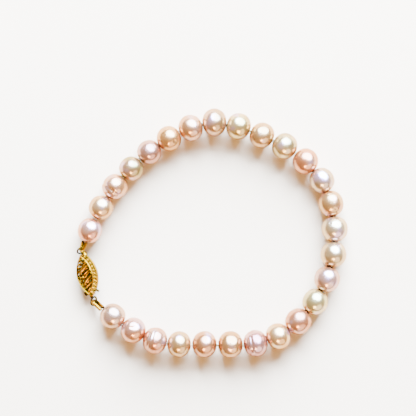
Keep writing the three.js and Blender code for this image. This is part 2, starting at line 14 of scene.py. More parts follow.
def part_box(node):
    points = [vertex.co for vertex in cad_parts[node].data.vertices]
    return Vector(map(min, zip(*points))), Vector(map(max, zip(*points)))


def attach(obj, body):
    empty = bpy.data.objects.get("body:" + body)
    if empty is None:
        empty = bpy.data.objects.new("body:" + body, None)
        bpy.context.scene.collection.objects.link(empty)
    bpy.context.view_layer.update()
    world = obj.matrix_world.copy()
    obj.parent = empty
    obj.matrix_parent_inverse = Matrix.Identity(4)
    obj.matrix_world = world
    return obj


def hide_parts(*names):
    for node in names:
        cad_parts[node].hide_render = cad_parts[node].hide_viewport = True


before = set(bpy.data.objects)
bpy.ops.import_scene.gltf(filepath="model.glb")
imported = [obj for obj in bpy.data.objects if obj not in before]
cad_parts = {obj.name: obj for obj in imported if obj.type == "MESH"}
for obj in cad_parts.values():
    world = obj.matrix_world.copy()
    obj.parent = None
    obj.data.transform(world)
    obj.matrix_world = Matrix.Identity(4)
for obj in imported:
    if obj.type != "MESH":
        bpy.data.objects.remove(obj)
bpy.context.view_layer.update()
MM = 0.001

# %% [markdown]
# ## Small helpers
# Operators act on whatever is selected, and loading the frame leaves its nodes selected, so
# every step starts from nothing selected. Colours are written as the sRGB hex values that a
# paint program shows, and one function turns them into the linear values that Blender wants.
# One more function adds a shader node with its settings and links, so that a material reads
# as a list.


# %% Helpers for objects, colours and nodes
def deselect():
    bpy.ops.object.select_all(action="DESELECT")


def linear(hex_colour):
    """An sRGB colour such as "#d9a441" as the linear RGBA that a shader takes."""
    channels = [int(hex_colour[i : i + 2], 16) / 255 for i in (1, 3, 5)]
    bent = [c / 12.92 if c <= 0.04045 else ((c + 0.055) / 1.055) ** 2.4 for c in channels]
    return (*bent, 1.0)


def node(material, kind, settings=(), links=()):
    """Add a node. Settings name its attributes or inputs, and links say what feeds an input."""
    made = material.node_tree.nodes.new(kind)
    for name, value in dict(settings).items():
        if isinstance(name, int) or name in made.inputs:
            made.inputs[name].default_value = value
        else:
            setattr(made, name, value)
    for name, source in dict(links).items():
        material.node_tree.links.new(source, made.inputs[name])
    return made


def ramp(material, source, stops):
    """A colour ramp over a value, from (place, hex colour) stops."""
    made = node(material, "ShaderNodeValToRGB", links={"Fac": source})
    elements = made.color_ramp.elements
    while len(elements) < len(stops):
        elements.new(0.5)
    for element, (place, colour) in zip(elements, stops):
        element.position = place
        element.color = linear(colour)
    return made.outputs["Color"]


def new_material(name):
    material = bpy.data.materials.new(name)
    material.use_nodes = True
    material.node_tree.nodes.clear()
    return material


def surface(material, settings, links):
    """Finish a material with one Principled shader."""
    shader = node(material, "ShaderNodeBsdfPrincipled", settings, links)
    node(material, "ShaderNodeOutputMaterial", links={"Surface": shader.outputs["BSDF"]})
    return material


def keep(piece, name, material, slot, *nodes):
    """Name a finished mesh and let it ride on the frame, with this material or its own."""
    piece.name = piece.data.name = name
    if material:
        piece.data.materials.clear()
        piece.data.materials.append(material)
    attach(piece, "root")
    if nodes:
        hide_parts(*nodes)
    return piece


deselect()
print("frame nodes:", len(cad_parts))

# %% [markdown]
# ## The pearls' shape
# A freshwater pearl is nearly round, a little shorter along its drilled hole, and never quite
# regular: it may have soft rings round its axis, dents, or a crease. It could be a sphere
# scaled in place, but then all 27 would shine alike. So one pearl with a drilled hole is
# modelled at unit size, and each copy is pushed into its own shape by a slow noise and by
# the marks that the real one has. A ring of faces at each pole would pinch the surface, so the
# poles are cut away and the two rims are bridged into a bore.


# %% Model one drilled pearl at unit size
POLE = 0.999
BORE_RINGS = 6


def unit_pearl():
    """A unit sphere without the fans of triangles at its poles."""
    deselect()
    bpy.ops.mesh.primitive_uv_sphere_add(segments=48, ring_count=24, radius=1)
    pearl = bpy.context.object
    bpy.ops.object.mode_set(mode="EDIT")
    bpy.ops.mesh.select_mode(type="VERT")
    bpy.ops.mesh.select_all(action="DESELECT")
    bpy.ops.object.mode_set(mode="OBJECT")
    for vertex in pearl.data.vertices:
        vertex.select = abs(vertex.co.z) > POLE
    bpy.ops.object.mode_set(mode="EDIT")
    bpy.ops.mesh.delete(type="VERT")
    return pearl


def drill(pearl):
    """Bridge the two open rims at the poles into one bore, and smooth its mouths."""
    bpy.ops.mesh.select_mode(type="EDGE")
    bpy.ops.mesh.select_all(action="DESELECT")
    bpy.ops.mesh.select_non_manifold()
    bpy.ops.mesh.bridge_edge_loops(number_cuts=BORE_RINGS)
    bpy.ops.mesh.select_all(action="SELECT")
    bpy.ops.mesh.normals_make_consistent(inside=False)
    bpy.ops.object.mode_set(mode="OBJECT")
    smooth = pearl.modifiers.new("Subdivision", "SUBSURF")
    smooth.levels = smooth.render_levels = 1
    bpy.ops.object.modifier_apply(modifier=smooth.name)
    return pearl


master = drill(unit_pearl())
print("unit pearl:", len(master.data.polygons), "faces")

# %% [markdown]
# ## Where each pearl lies
# The CAD box of a pearl gives its middle and, by its height, its size across the hole. The
# hole points along the string, so its direction is that from the pearl before to the pearl
# after. The size along the hole can't be read from a box that lies askew, so the CAD's own
# shares are repeated here. The photographed pearls nearly touch, so each is a little longer
# than its solid, whose facets cut inside the true round.

# %% Measure the pearls' places
PEARL_LENGTH = 6.0 * MM
OVER_FACETS = 1.05
LENGTH_SHARES = [
    *(0.99, 0.96, 1.01, 0.96, 0.96, 0.965, 0.965, 0.98, 0.995),
    *(0.98, 1.0, 1.01, 1.01, 1.04, 1.025, 1.04, 1.055, 1.04),
    *(1.045, 0.98, 0.98, 1.01, 0.99, 0.955, 0.98, 0.99, 1.01),
]
COUNT = len(LENGTH_SHARES)
names = [f"pearl_{i + 1:02d}" for i in range(COUNT)]
corners = [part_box(name) for name in names]
centres = [(low + high) / 2 for low, high in corners]
ends = [sum(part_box(name), Vector()) / 2 for name in ("gimp_top", "gimp_bottom")]


def flat_direction(a, b):
    away = b - a
    away.z = 0
    return away.normalized()


def pearl_place(i):
    """Middle, drill direction, and half the size across and along the hole."""
    before = centres[i - 1] if i > 0 else ends[0]
    after = centres[i + 1] if i < COUNT - 1 else ends[1]
    axis = flat_direction(before, after)
    across = (corners[i][1].z - corners[i][0].z) / 2
    along = LENGTH_SHARES[i] * PEARL_LENGTH / 2 * OVER_FACETS
    return centres[i], axis, across, along


places = [pearl_place(i) for i in range(COUNT)]
print("pearls across, mm:", [round(2 * p[2] / MM, 1) for p in places])

# %% [markdown]
# ## Each pearl's own face
# Every pearl is listed with its body colour, the blush of its nacre and its marks. A mark is
# placed as it is seen from above, in shares of the pearl's radius to the right and up. A
# ring runs round the drill axis: its place along the axis, its width and its depth follow. A
# dent is a round hollow and a crease a long one: place right and up, width and depth.

# %% List the pearls' colours and marks
PEARLS = [
    ("#bd8062", "#c6987e", [("ring", -0.1, 0.16, 0.012)]),
    ("#ba8f59", "#c3a175", []),
    ("#c08c5a", "#c4946a", [("ring", -0.35, 0.09, 0.05), ("dent", -0.2, -0.3, 0.16, 0.06)]),
    ("#8e7e44", "#b48e68", []),
    ("#a67560", "#b68c7c", []),
    (
        "#bc8a4e",
        "#c29058",
        [
            ("dent", 0.5, -0.22, 0.12, 0.08),
            ("crease", -0.42, 0.3, 0.08, 0.05),
            ("dent", -0.3, -0.4, 0.14, 0.04),
        ],
    ),
    ("#ba895c", "#c3987e", []),
    ("#a68458", "#bf967e", [("ring", 0.45, 0.2, 0.012)]),
    ("#ab9357", "#c4ac77", []),
    ("#ae8550", "#ba9462", []),
    ("#a08d5c", "#c2a874", []),
    ("#bd7b50", "#c6916d", []),
    ("#b09670", "#bda492", []),
    ("#b8905c", "#c28c6a", [("dent", 0.32, -0.4, 0.1, 0.05), ("dent", 0.5, -0.15, 0.08, 0.04)]),
    ("#b9a075", "#c4b08b", [("dent", -0.4, 0.42, 0.09, 0.03)]),
    ("#b79e72", "#cab794", [("dent", -0.5, 0.05, 0.1, 0.04)]),
    ("#b0876d", "#c09a8b", []),
    ("#afa26d", "#c3b488", []),
    ("#b07452", "#ba8768", []),
    ("#c09258", "#ccb084", []),
    ("#a66c62", "#ba8d86", [("ring", 0.3, 0.07, 0.045), ("ring", 0.58, 0.07, 0.035)]),
    ("#ae7f4a", "#ba8e60", [("dent", 0.2, 0.3, 0.35, 0.02)]),
    ("#af784c", "#b88660", []),
    ("#b18b54", "#b8966a", []),
    ("#b47858", "#c09478", [("ring", 0.25, 0.06, 0.035), ("ring", 0.48, 0.06, 0.035)]),
    ("#bb8052", "#c29280", [("crease", 0.1, 0.3, 0.09, 0.07)]),
    ("#b08966", "#c2a08a", []),
]
print("pearls listed:", len(PEARLS))


# %% Push a copy of the unit pearl into one pearl's shape
FULLNESS = 2.12
UNEVEN = 0.024
SLOW, QUICK = 1.1, 2.4
QUICK_SHARE = 0.4
BORE = 0.128  # half the bore's width, as a share of the radius
CREASE_STRETCH = 0.3


def mark_depth(mark, seen, along_axis):
    """How far a mark pushes the surface in at this place, in shares of the radius."""
    kind = mark[0]
    if kind == "ring":
        _, at, width, depth = mark
        return depth * math.exp(-(((along_axis - at) / width) ** 2))
    _, right, up, width, depth = mark
    middle = Vector((right, up, math.sqrt(max(0.0, 1 - right**2 - up**2))))
    off = seen - middle
    if kind == "crease":
        off.x *= CREASE_STRETCH
    return depth * math.exp(-(off.length_squared / width**2))


def make_pearl(i):
    """A fuller shape than an ellipsoid, made uneven and marked. The bore stays straight."""
    centre, axis, across, along = places[i]
    side = axis.cross(Vector((0, 0, 1)))
    turn = Matrix((side, axis.cross(side), axis)).transposed()
    pearl = master.copy()
    pearl.data = master.data.copy()
    bpy.context.collection.objects.link(pearl)
    for vertex in pearl.data.vertices:
        unit = vertex.co.copy()
        flat = math.hypot(unit.x, unit.y)
        if flat < BORE:
            vertex.co = turn @ Vector((unit.x * across, unit.y * across, unit.z * along)) + centre
            continue
        full = (flat**FULLNESS + abs(unit.z) ** FULLNESS) ** (-1 / FULLNESS)
        seen = turn @ unit
        # each pearl reads its own stretch of the noise
        uneven = noise.noise(unit * SLOW + Vector((7.3 * i, 1.7, 0)))
        uneven += QUICK_SHARE * noise.noise(unit * QUICK + Vector((0, 5.1 * i, 2)))
        grow = full * (1 + UNEVEN * uneven)
        grow -= sum(mark_depth(mark, seen, unit.z) for mark in PEARLS[i][2])
        shaped = Vector((unit.x * across, unit.y * across, unit.z * along)) * grow
        vertex.co = turn @ shaped + centre
    pearl.data.polygons.foreach_set("use_smooth", [True] * len(pearl.data.polygons))
    return pearl


print("marked pearls:", sum(1 for pearl in PEARLS if pearl[2]))

# %% [markdown]
# ## Nacre
# Nacre is aragonite in layers thinner than light waves, polished by the mollusc itself. The
# eye gets three things from it: a soft body colour, a bright reflection that is tinted by
# that body, and over both a clear white gloss. One Principled shader does it: a mostly
# metallic base carries the tinted reflection, and a clear coat carries the white one. Thin
# film would be the physical way to its orient, the play of pink, gold and lavender, but it
# hardly shows on so metallic a base. So slow noise in the object's own coordinates makes the
# colour drift from the body colour through the blush to lavender.


# %% Make the nacre
LAVENDER = "#c2a2b4"
DRIFT_SCALE = 260.0  # patches of about 4 mm
GRAIN_SCALE = 900.0  # ripples of about 1 mm


def nacre(i):
    """Polished nacre: a lustrous tinted base under a thin clear gloss."""
    body, blush, _ = PEARLS[i]
    material = new_material(f"nacre_{i + 1:02d}")
    where = node(material, "ShaderNodeTexCoord").outputs["Object"]
    cloud = node(
        material,
        "ShaderNodeTexNoise",
        {"Scale": DRIFT_SCALE, "Detail": 2.0, "Roughness": 0.5},
        {"Vector": where},
    )
    tint = ramp(material, cloud.outputs["Fac"], [(0.46, body), (0.59, blush), (0.72, LAVENDER)])
    grain = node(
        material,
        "ShaderNodeTexNoise",
        {"Scale": GRAIN_SCALE, "Detail": 3.0, "Roughness": 0.55},
        {"Vector": where},
    )
    relief = node(
        material,
        "ShaderNodeBump",
        {"Strength": 0.12, "Distance": 0.00008},
        {"Height": grain.outputs["Fac"]},
    )
    return surface(
        material,
        {
            "Metallic": 0.85,
            "Roughness": 0.24,
            "Coat Weight": 0.4,
            "Coat Roughness": 0.05,
            "Coat IOR": 1.6,
            "Coat Tint": linear("#f6e0be"),
            "Specular Tint": linear("#ffdcb0"),
        },
        {"Base Color": tint, "Normal": relief.outputs["Normal"]},
    )


for i in range(COUNT):
    keep(make_pearl(i), f"nacre_{i + 1:02d}", nacre(i), "pearl", names[i])
bpy.data.objects.remove(master)

# %% [markdown]
# ## Silk thread and knots
# The thread is twisted silk, 0.4 mm thick, hidden in the pearls and seen only as a knot in
# each gap. A knot could be a bead, but a real one shows its crossing strands. One overhand
# knot is drawn as a three-lobed curve, given thickness, made a mesh, and copied into every
# gap, turned further each time, on one run of silk through all pearls.


# %% Draw wires and strands
def strand(points, thickness, closed=False, roundness=1, radii=None):
    """Round wire along a smooth curve that follows these points, as a closed mesh."""
    deselect()
    drawn = bpy.data.curves.new("strand", "CURVE")
    drawn.dimensions = "3D"
    drawn.bevel_depth = thickness / 2
    drawn.bevel_resolution = roundness
    drawn.use_fill_caps = True
    spline = drawn.splines.new("NURBS")
    spline.points.add(len(points) - 1)
    for i, point in enumerate(points):
        spline.points[i].co = (*point, 1)
        spline.points[i].radius = radii[i] if radii else 1
    spline.order_u = min(3, len(points))
    spline.use_endpoint_u = not closed
    spline.use_cyclic_u = closed
    spline.resolution_u = 3
    made = bpy.data.objects.new("strand", drawn)
    bpy.context.collection.objects.link(made)
    made.select_set(True)
    bpy.context.view_layer.objects.active = made
    bpy.ops.object.convert(target="MESH")
    return bpy.context.object


def copy_of(piece, place):
    """A copy with its own mesh, moved to its place in that mesh."""
    made = piece.copy()
    made.data = piece.data.copy()
    made.data.transform(place)
    bpy.context.collection.objects.link(made)
    return made


def join(pieces, smooth_angle=50):
    """Join pieces into one mesh, and smooth it except over edges sharper than this."""
    deselect()
    for piece in pieces:
        piece.select_set(True)
    bpy.context.view_layer.objects.active = pieces[0]
    if len(pieces) > 1:
        bpy.ops.object.join()
    whole = bpy.context.object
    bpy.ops.object.shade_smooth_by_angle(angle=math.radians(smooth_angle))
    return whole


def basis(along, middle):
    """A place whose X runs along a direction and whose Z stays as upright as it can."""
    x = along.normalized()
    y = Vector((0, 0, 1)).cross(x).normalized()
    return Matrix.Translation(middle) @ Matrix((x, y, x.cross(y))).transposed().to_4x4()


# %% Tie the knots
THREAD = 0.4 * MM
KNOT_WIRE = 0.3 * MM
KNOT_ALONG, KNOT_ACROSS = 0.12 * MM, 0.15 * MM
KNOT_STEPS = 24
KNOT_TURN = 1.3
MOUTH_SHARE = 0.02
mouths = [(centre - axis * along, centre + axis * along) for centre, axis, _, along in places]


def knot_curve():
    """Points of a three-lobed knot, flat across the thread."""
    points = []
    for k in range(KNOT_STEPS):
        t = 2 * math.pi * k / KNOT_STEPS
        x = -math.sin(3 * t) * KNOT_ALONG
        y = (math.sin(t) + 2 * math.sin(2 * t)) * KNOT_ACROSS
        z = (math.cos(t) - 2 * math.cos(2 * t)) * KNOT_ACROSS
        points.append(Vector((x, y, z)))
    return points


knot = strand(knot_curve(), KNOT_WIRE, closed=True)
stops = (MOUTH_SHARE, 1 - MOUTH_SHARE)
route = [start.lerp(end, share) for start, end in mouths for share in stops]
strands = [strand(route, THREAD)]
for i in range(1, COUNT):
    gap = (mouths[i - 1][1] + mouths[i][0]) / 2
    way = flat_direction(centres[i - 1], centres[i])
    spin = Matrix.Rotation(KNOT_TURN * i, 4, "X")
    strands.append(copy_of(knot, basis(way, gap) @ spin))
bpy.data.objects.remove(knot)
print("knots tied:", len(strands) - 1)


# %% Make the silk
PLY_SCALE = 1000.0


def silk():
    """Twisted silk: matt, with the sheen of its filaments and ply 0.36 mm apart."""
    material = new_material("twisted_silk")
    where = node(material, "ShaderNodeTexCoord").outputs["Object"]
    ply = node(
        material,
        "ShaderNodeTexWave",
        {"Scale": PLY_SCALE, "Distortion": 2.0, "Detail": 1.0, "bands_direction": "DIAGONAL"},
        {"Vector": where},
    )
    tint = ramp(material, ply.outputs["Fac"], [(0.0, "#f2dcb8"), (0.4, "#fff2dc")])
    relief = node(
        material,
        "ShaderNodeBump",
        {"Strength": 0.6, "Distance": 0.00004},
        {"Height": ply.outputs["Fac"]},
    )
    return surface(
        material,
        {
            "Roughness": 0.7,
            "Sheen Weight": 0.4,
            "Subsurface Weight": 0.3,
            "Subsurface Scale": 0.0006,
        },
        {"Base Color": tint, "Normal": relief.outputs["Normal"]},
    )


keep(join(strands), "silk_thread", silk(), "silk", "thread")
print("silk thread made")

# %% [markdown]
# ## The clasp's own frame
# The clasp lies rolled towards the outside of the bracelet, on the line between the two ends
# of the string. It is easiest to model it upright and untilted in its own frame: X from the
# ring to the hook, Y to the inside of the bracelet, Z out of the upper face. Each finished
# mesh is then put in its place.

# %% The clasp's place and sizes
CLASP_AT = Vector((-31.768, -10.616, 2.468)) * MM
CLASP_HEADING = math.radians(-77.7)
CLASP_ROLL = math.radians(22)
clasp_place = (
    Matrix.Translation(CLASP_AT)
    @ Matrix.Rotation(CLASP_HEADING, 4, "Z")
    @ Matrix.Rotation(CLASP_ROLL, 4, "X")
)
LENGTH, WIDTH, THICK = 11.2 * MM, 5.4 * MM, 3.2 * MM
INSET, RISE = 0.6 * MM, 0.35 * MM
TIP_SHARE = 1.25
RIM = 0.34 * MM
FACE_LENGTH, FACE_WIDTH = LENGTH - 2 * INSET * TIP_SHARE, WIDTH - 2 * INSET


def half_width(x, length=FACE_LENGTH, width=FACE_WIDTH):
    """Half the width of a pointed oval at this distance from its middle."""
    radius = ((length / 2) ** 2 + (width / 2) ** 2) / width
    return math.sqrt(max(0, radius**2 - x**2)) - (radius - width / 2)


def face_height(x, y):
    """Height of the domed face over the middle of the clasp."""
    half = max(half_width(x), RIM)
    crown = max(0, 1 - (y / half) ** 2) * max(0, 1 - (2 * x / FACE_LENGTH) ** 2)
    return THICK / 2 + RISE * crown


def oval(inset, z, steps=20):
    """Points round a pointed oval, this far in from the widest outline."""
    length, width = LENGTH - 2 * inset * TIP_SHARE, WIDTH - 2 * inset
    points = []
    for side in (1, -1):
        for k in range(steps):
            x = -side * length / 2 * math.cos(math.pi * k / steps)
            points.append(Vector((x, side * half_width(x, length, width), z)))
    return points


def on_face(x, y, lift=0.0):
    """A point of the upper face, from millimetres along and across."""
    return Vector((x * MM, y * MM, face_height(x * MM, y * MM) + lift * MM))


print("clasp at mm:", [round(v / MM, 2) for v in CLASP_AT])

# %% [markdown]
# ## Gold
# The metal is yellow gold, about 18 carat, soldered and then tumbled. A metal's colour is
# its reflection, so the base colour is the gold's own, and a dark brown is mixed in as
# painted shade where the ambient occlusion says that a place is deep. It looks 4 mm far,
# past the clasp's thickness, so the inside of the hollow box turns dark with painted
# shade. The ring, the hook and the peg are of duller gold, and their base colour is painted
# darker as painted shade.


# %% Make the gold
# how far the occlusion looks, and where its ramp runs, for the shade painted into the gold's
# recesses
PAINTED_SHADE_REACH = 4 * MM
PAINTED_SHADE_STOPS = (0.48, 0.82)
SCUFF_SCALE = 2500.0  # scuffs of about 0.4 mm


def gold(name, bright, shade_colour, roughness):
    """Polished gold with painted shade darkening its recesses, and scuffed where it is open."""
    material = new_material(name)
    where = node(material, "ShaderNodeTexCoord").outputs["Object"]
    # painted shade: ambient occlusion mixes the dark colour into the base wherever a place is
    # deep
    painted_shade = node(
        material, "ShaderNodeAmbientOcclusion", {"Distance": PAINTED_SHADE_REACH, "samples": 8}
    ).outputs["AO"]
    tint = ramp(material, painted_shade, list(zip(PAINTED_SHADE_STOPS, (shade_colour, bright))))
    scuff = node(
        material,
        "ShaderNodeTexNoise",
        {"Scale": SCUFF_SCALE, "Detail": 3.0, "Roughness": 0.6},
        {"Vector": where},
    )
    relief = node(
        material,
        "ShaderNodeBump",
        {"Strength": 0.25, "Distance": 0.00003},
        {"Height": scuff.outputs["Fac"]},
    )
    rough = node(
        material,
        "ShaderNodeMapRange",
        {"From Min": 0.3, "From Max": 0.7, "To Min": roughness - 0.06, "To Max": roughness + 0.1},
        {"Value": scuff.outputs["Fac"]},
    )
    return surface(
        material,
        {"Metallic": 1.0},
        {
            "Base Color": tint,
            "Roughness": rough.outputs["Result"],
            "Normal": relief.outputs["Normal"],
        },
    )


# the second colour of each gold is its painted shade, mixed in where the metal is deep
yellow_gold = gold("tumbled_yellow_gold", "#a47200", "#120900", 0.17)
# a rougher gold whose darker base colour is painted shade, for the ring, the hook and the peg
shade_darkened_gold = gold("shade_darkened_yellow_gold", "#442c00", "#0c0600", 0.3)
print("gold made")

# %% [markdown]
# ## The clasp's box
# The box is filigree: rims of drawn wire, a gallery of small rings with a grain in each
# between them, and two domed faces of curled wire, bars and grains, all soldered together.
# Casting it as one pierced plate would lose the light on each wire, so each wire is a piece
# of its own. The lower face is close rows of curls, so that no light comes through it.

# %% Draw the rims
RIM_PLACES = [(0.0, 0.0), (INSET, THICK / 2), (INSET, -THICK / 2)]
rims = [strand(oval(inset, z), RIM, closed=True, roundness=2) for inset, z in RIM_PLACES]
print("rims drawn:", len(rims))


# %% Model one gallery ring and one grain, and set them along the walls
SLOPE_STEP = MM / 10


def torus(across, wide, major=16, minor=6):
    """A ring of round wire: its size over all, and the wire's thickness."""
    deselect()
    bpy.ops.mesh.primitive_torus_add(
        major_segments=major,
        minor_segments=minor,
        major_radius=(across - wide) / 2,
        minor_radius=wide / 2,
    )
    return bpy.context.object


def grain_of(across):
    deselect()
    bpy.ops.mesh.primitive_ico_sphere_add(subdivisions=2, radius=across / 2)
    return bpy.context.object


def wall_place(x, side, up):
    """A place on the sloping wall: its Z out of the wall, its Y up the wall."""
    y = half_width(x, LENGTH, WIDTH) - INSET / 2
    ahead, behind = (half_width(x + s, LENGTH, WIDTH) for s in (SLOPE_STEP, -SLOPE_STEP))
    slope = (ahead - behind) / (2 * SLOPE_STEP)
    along = Vector((1, side * slope, 0)).normalized()
    rise = Vector((0, -side * INSET, up * THICK / 2)).normalized()
    outward = along.cross(rise).normalized()
    if outward.y * side < 0:
        outward.negate()
    rise = outward.cross(along)
    spot = Vector((x, side * y, up * THICK / 4))
    return Matrix.Translation(spot) @ Matrix((along, rise, outward)).transposed().to_4x4()


RING_PITCH = 0.93 * MM
RINGS_EACH_WAY = 5
OVERLAP = 0.08 * MM
GALLERY_WIRE, BEAD = 0.2 * MM, 0.62 * MM
TALL_SHARE, BEAD_SINK = 1.32, 0.1 * MM
ring = torus(RING_PITCH + OVERLAP, GALLERY_WIRE)
bead = grain_of(BEAD)
tall = Matrix.Diagonal((1, TALL_SHARE, 1, 1))
sunk = Matrix.Translation((0, 0, -BEAD_SINK))
gallery = []
for side in (1, -1):
    for up in (1, -1):
        for k in range(-RINGS_EACH_WAY, RINGS_EACH_WAY + 1):
            place = wall_place(k * RING_PITCH, side, up)
            gallery.append(copy_of(ring, place @ tall))
            gallery.append(copy_of(bead, place @ sunk))
print("gallery rings and beads:", len(gallery))

# %% Set rows of grains along the rims
GRAIN = 0.24 * MM
GRAIN_PITCH = 0.27 * MM
GRAINS_EACH_WAY = 19
BESIDE_RIM, PROUD = 0.2 * MM, 0.06 * MM
GRAIN_ROWS = ((0.02 * MM, BESIDE_RIM), (INSET, THICK / 2 - BESIDE_RIM))
grain = grain_of(GRAIN)
grains = []
for side in (1, -1):
    for k in range(-GRAINS_EACH_WAY, GRAINS_EACH_WAY + 1):
        x = k * GRAIN_PITCH
        for inset, z in GRAIN_ROWS:
            y = half_width(x, LENGTH - 2 * inset * TIP_SHARE, WIDTH - 2 * inset) + PROUD
            for up in (1, -1):
                grains.append(copy_of(grain, Matrix.Translation((x, side * y, up * z))))
print("grains:", len(grains))


# %% List the wires, scrolls and grains of the upper face, in millimetres
BAR, MIDDLE, FINE = 0.52, 0.36, 0.26
LIFT = {BAR: 0.1, MIDDLE: -0.06, FINE: -0.3}
TAPER = {3: [0.6, 1, 0.6], 4: [0.6, 1, 1, 0.6], 5: [0.6, 0.9, 1, 0.9, 0.6]}
SCROLL_WIRE = 0.24
SCROLL_SINK = -0.16
FACE_WIRES = [
    (BAR, [(-0.3, -1.35), (-0.93, -0.58), (-1.6, 0.1), (-2.12, 0.86), (-2.35, 1.45)]),
    (MIDDLE, [(-0.8, -1.5), (-1.48, -0.7), (-2.26, 0.21), (-2.6, 1.23)]),
    (FINE, [(-1.5, -1.55), (-1.92, -0.89), (-2.5, -0.1), (-2.95, 0.7), (-3.0, 1.25)]),
    (MIDDLE, [(-2.7, -1.2), (-3.1, -0.6), (-3.44, 0.1), (-3.3, 0.8), (-3.2, 1.3)]),
    (MIDDLE, [(0.2, -0.7), (-0.2, 0.0), (-0.68, 0.66), (-1.0, 1.2), (-1.24, 1.7)]),
    (FINE, [(-0.6, -0.7), (-1.1, 0.0), (-1.5, 0.7), (-1.7, 1.3), (-1.9, 1.75)]),
    (MIDDLE, [(1.0, -0.6), (0.63, -0.1), (0.2, 0.4), (-0.27, 0.95), (-0.68, 1.6)]),
    (BAR, [(2.5, -0.75), (1.93, -0.2), (1.3, 0.45), (0.58, 1.33), (0.3, 1.85)]),
    (MIDDLE, [(2.7, -0.45), (2.16, 0.1), (1.5, 0.9), (0.95, 1.75)]),
    (FINE, [(1.9, -1.1), (1.4, -0.4), (0.8, 0.3), (0.2, 1.0), (-0.2, 1.8)]),
    (BAR, [(3.4, -0.35), (2.97, 0.15), (2.34, 0.85), (1.9, 1.6)]),
    (FINE, [(3.8, -0.15), (3.3, 0.5), (2.8, 1.1), (2.5, 1.5)]),
    (MIDDLE, [(4.2, 0.0), (3.7, 0.45), (3.3, 1.0)]),
    (FINE, [(4.6, 0.0), (4.2, 0.35), (3.8, 0.7)]),
]
SCROLLS = [
    ((-4.05, 0.25), 0.85),
    ((-3.9, -0.35), 0.7),
    ((-3.55, 1.0), 0.65),
    ((-3.0, -0.55), 0.7),
    ((-2.1, -1.25), 0.6),
    ((-1.9, 1.55), 0.7),
    ((-1.2, -1.5), 0.6),
    ((-0.1, -0.75), 0.8),
    ((0.45, -1.3), 0.8),
    ((0.9, -0.45), 0.8),
    ((1.3, -1.15), 0.75),
    ((2.1, -1.15), 0.6),
    ((2.9, -0.7), 0.5),
    ((0.55, 0.45), 0.6),
    ((2.9, 0.9), 0.6),
]
FACE_GRAINS = [
    ((-4.64, 0.25), 0.38),
    ((-4.2, 0.1), 0.4),
    ((-3.92, 1.0), 0.46),
    ((-4.1, -0.45), 0.34),
    ((-3.4, -0.15), 0.4),
    ((-2.9, -1.1), 0.38),
    ((-2.2, -1.2), 0.36),
    ((0.36, -1.15), 0.44),
    ((0.41, -0.39), 0.6),
    ((1.2, -1.2), 0.36),
    ((-1.2, 1.75), 0.44),
    ((-0.3, 1.9), 0.34),
    ((2.2, -1.2), 0.34),
    ((3.48, 0.75), 0.36),
]
print("face wires:", len(FACE_WIRES), "scrolls:", len(SCROLLS), "grains:", len(FACE_GRAINS))


# %% Draw the faces, in millimetres
GRAIN_LIFT = 0.05
CURL_PITCH, CURL_OVERLAP = 0.56, 0.16
CURL_ROWS, CURL_COLUMNS, ROW_SHARE = 4, 9, 0.87
CURL_EDGE = 0.1
UNDER_GRAIN, UNDER_SINK = 0.3, -0.12


def scroll(x, y, across):
    """A curl of wire, sunk a little into the face."""
    curl = torus(across * MM, SCROLL_WIRE * MM, major=18)
    curl.data.transform(Matrix.Translation(on_face(x, y, SCROLL_SINK)))
    return curl


def face_grain(x, y, across, lift):
    made = grain_of(across * MM)
    made.data.transform(Matrix.Translation(on_face(x, y, lift)))
    return made


def upper_face():
    """The bars with tapered ends, the scrolls behind them and the grains in front."""
    pieces = []
    for wide, points in FACE_WIRES:
        way = [on_face(x, y, LIFT[wide]) for x, y in points]
        pieces.append(strand(way, wide * MM, roundness=2, radii=TAPER[len(points)]))
    pieces += [scroll(x, y, across) for (x, y), across in SCROLLS]
    pieces += [face_grain(x, y, across, GRAIN_LIFT) for (x, y), across in FACE_GRAINS]
    return join(pieces)


def lower_face():
    """Rows of close curls with a grain in each, turned over to the lower side."""
    pieces = []
    for row in range(-CURL_ROWS, CURL_ROWS + 1):
        for k in range(-CURL_COLUMNS, CURL_COLUMNS + 1):
            x, y = (k + row % 2 / 2) * CURL_PITCH, row * CURL_PITCH * ROW_SHARE
            if abs(y) < half_width(x * MM) / MM - CURL_EDGE:
                pieces.append(scroll(x, y, CURL_PITCH + CURL_OVERLAP))
                pieces.append(face_grain(x, y, UNDER_GRAIN, UNDER_SINK))
    whole = join(pieces)
    # half a turn, as a mirror would leave its faces pointing inwards
    whole.data.transform(Matrix.Rotation(math.pi, 4, "X"))
    return whole


faces = [upper_face(), lower_face()]
print("face triangles:", [sum(len(p.vertices) - 2 for p in f.data.polygons) for f in faces])

# %% [markdown]
# ## Ring, neck, catch bar and peg
# The string pulls on a ring at one end of the clasp. The ring is a closed round of wire, and
# it is set out from the line of the pull: leant in the flat and tilted about that line.


# %% Set out a ring from the pull of the string
FOOT_GAP = 0.2 * MM
RING_ACROSS, RING_WIRE, RING_TILT, RING_LEAN = 1.68 * MM, 0.42 * MM, 35, -15
EYE_ACROSS, EYE_ALONG, EYE_WIRE, EYE_TILT = 2.52 * MM, 1.52 * MM, 0.5 * MM, 30
WIRE_STEPS = 24
contact_top = clasp_place @ (Vector((-6.85, 0.15, 0)) * MM)
contact_low = clasp_place @ (Vector((7.46, 0.38, -0.39)) * MM)
foot_top = mouths[0][0] - places[0][1] * FOOT_GAP
foot_low = mouths[-1][1] + places[-1][1] * FOOT_GAP


def pull_of(contact, foot):
    """The direction of the pull, and the direction beside it that lies flat."""
    pull = (foot - contact).normalized()
    return pull, Vector((-pull.y, pull.x, 0)).normalized()


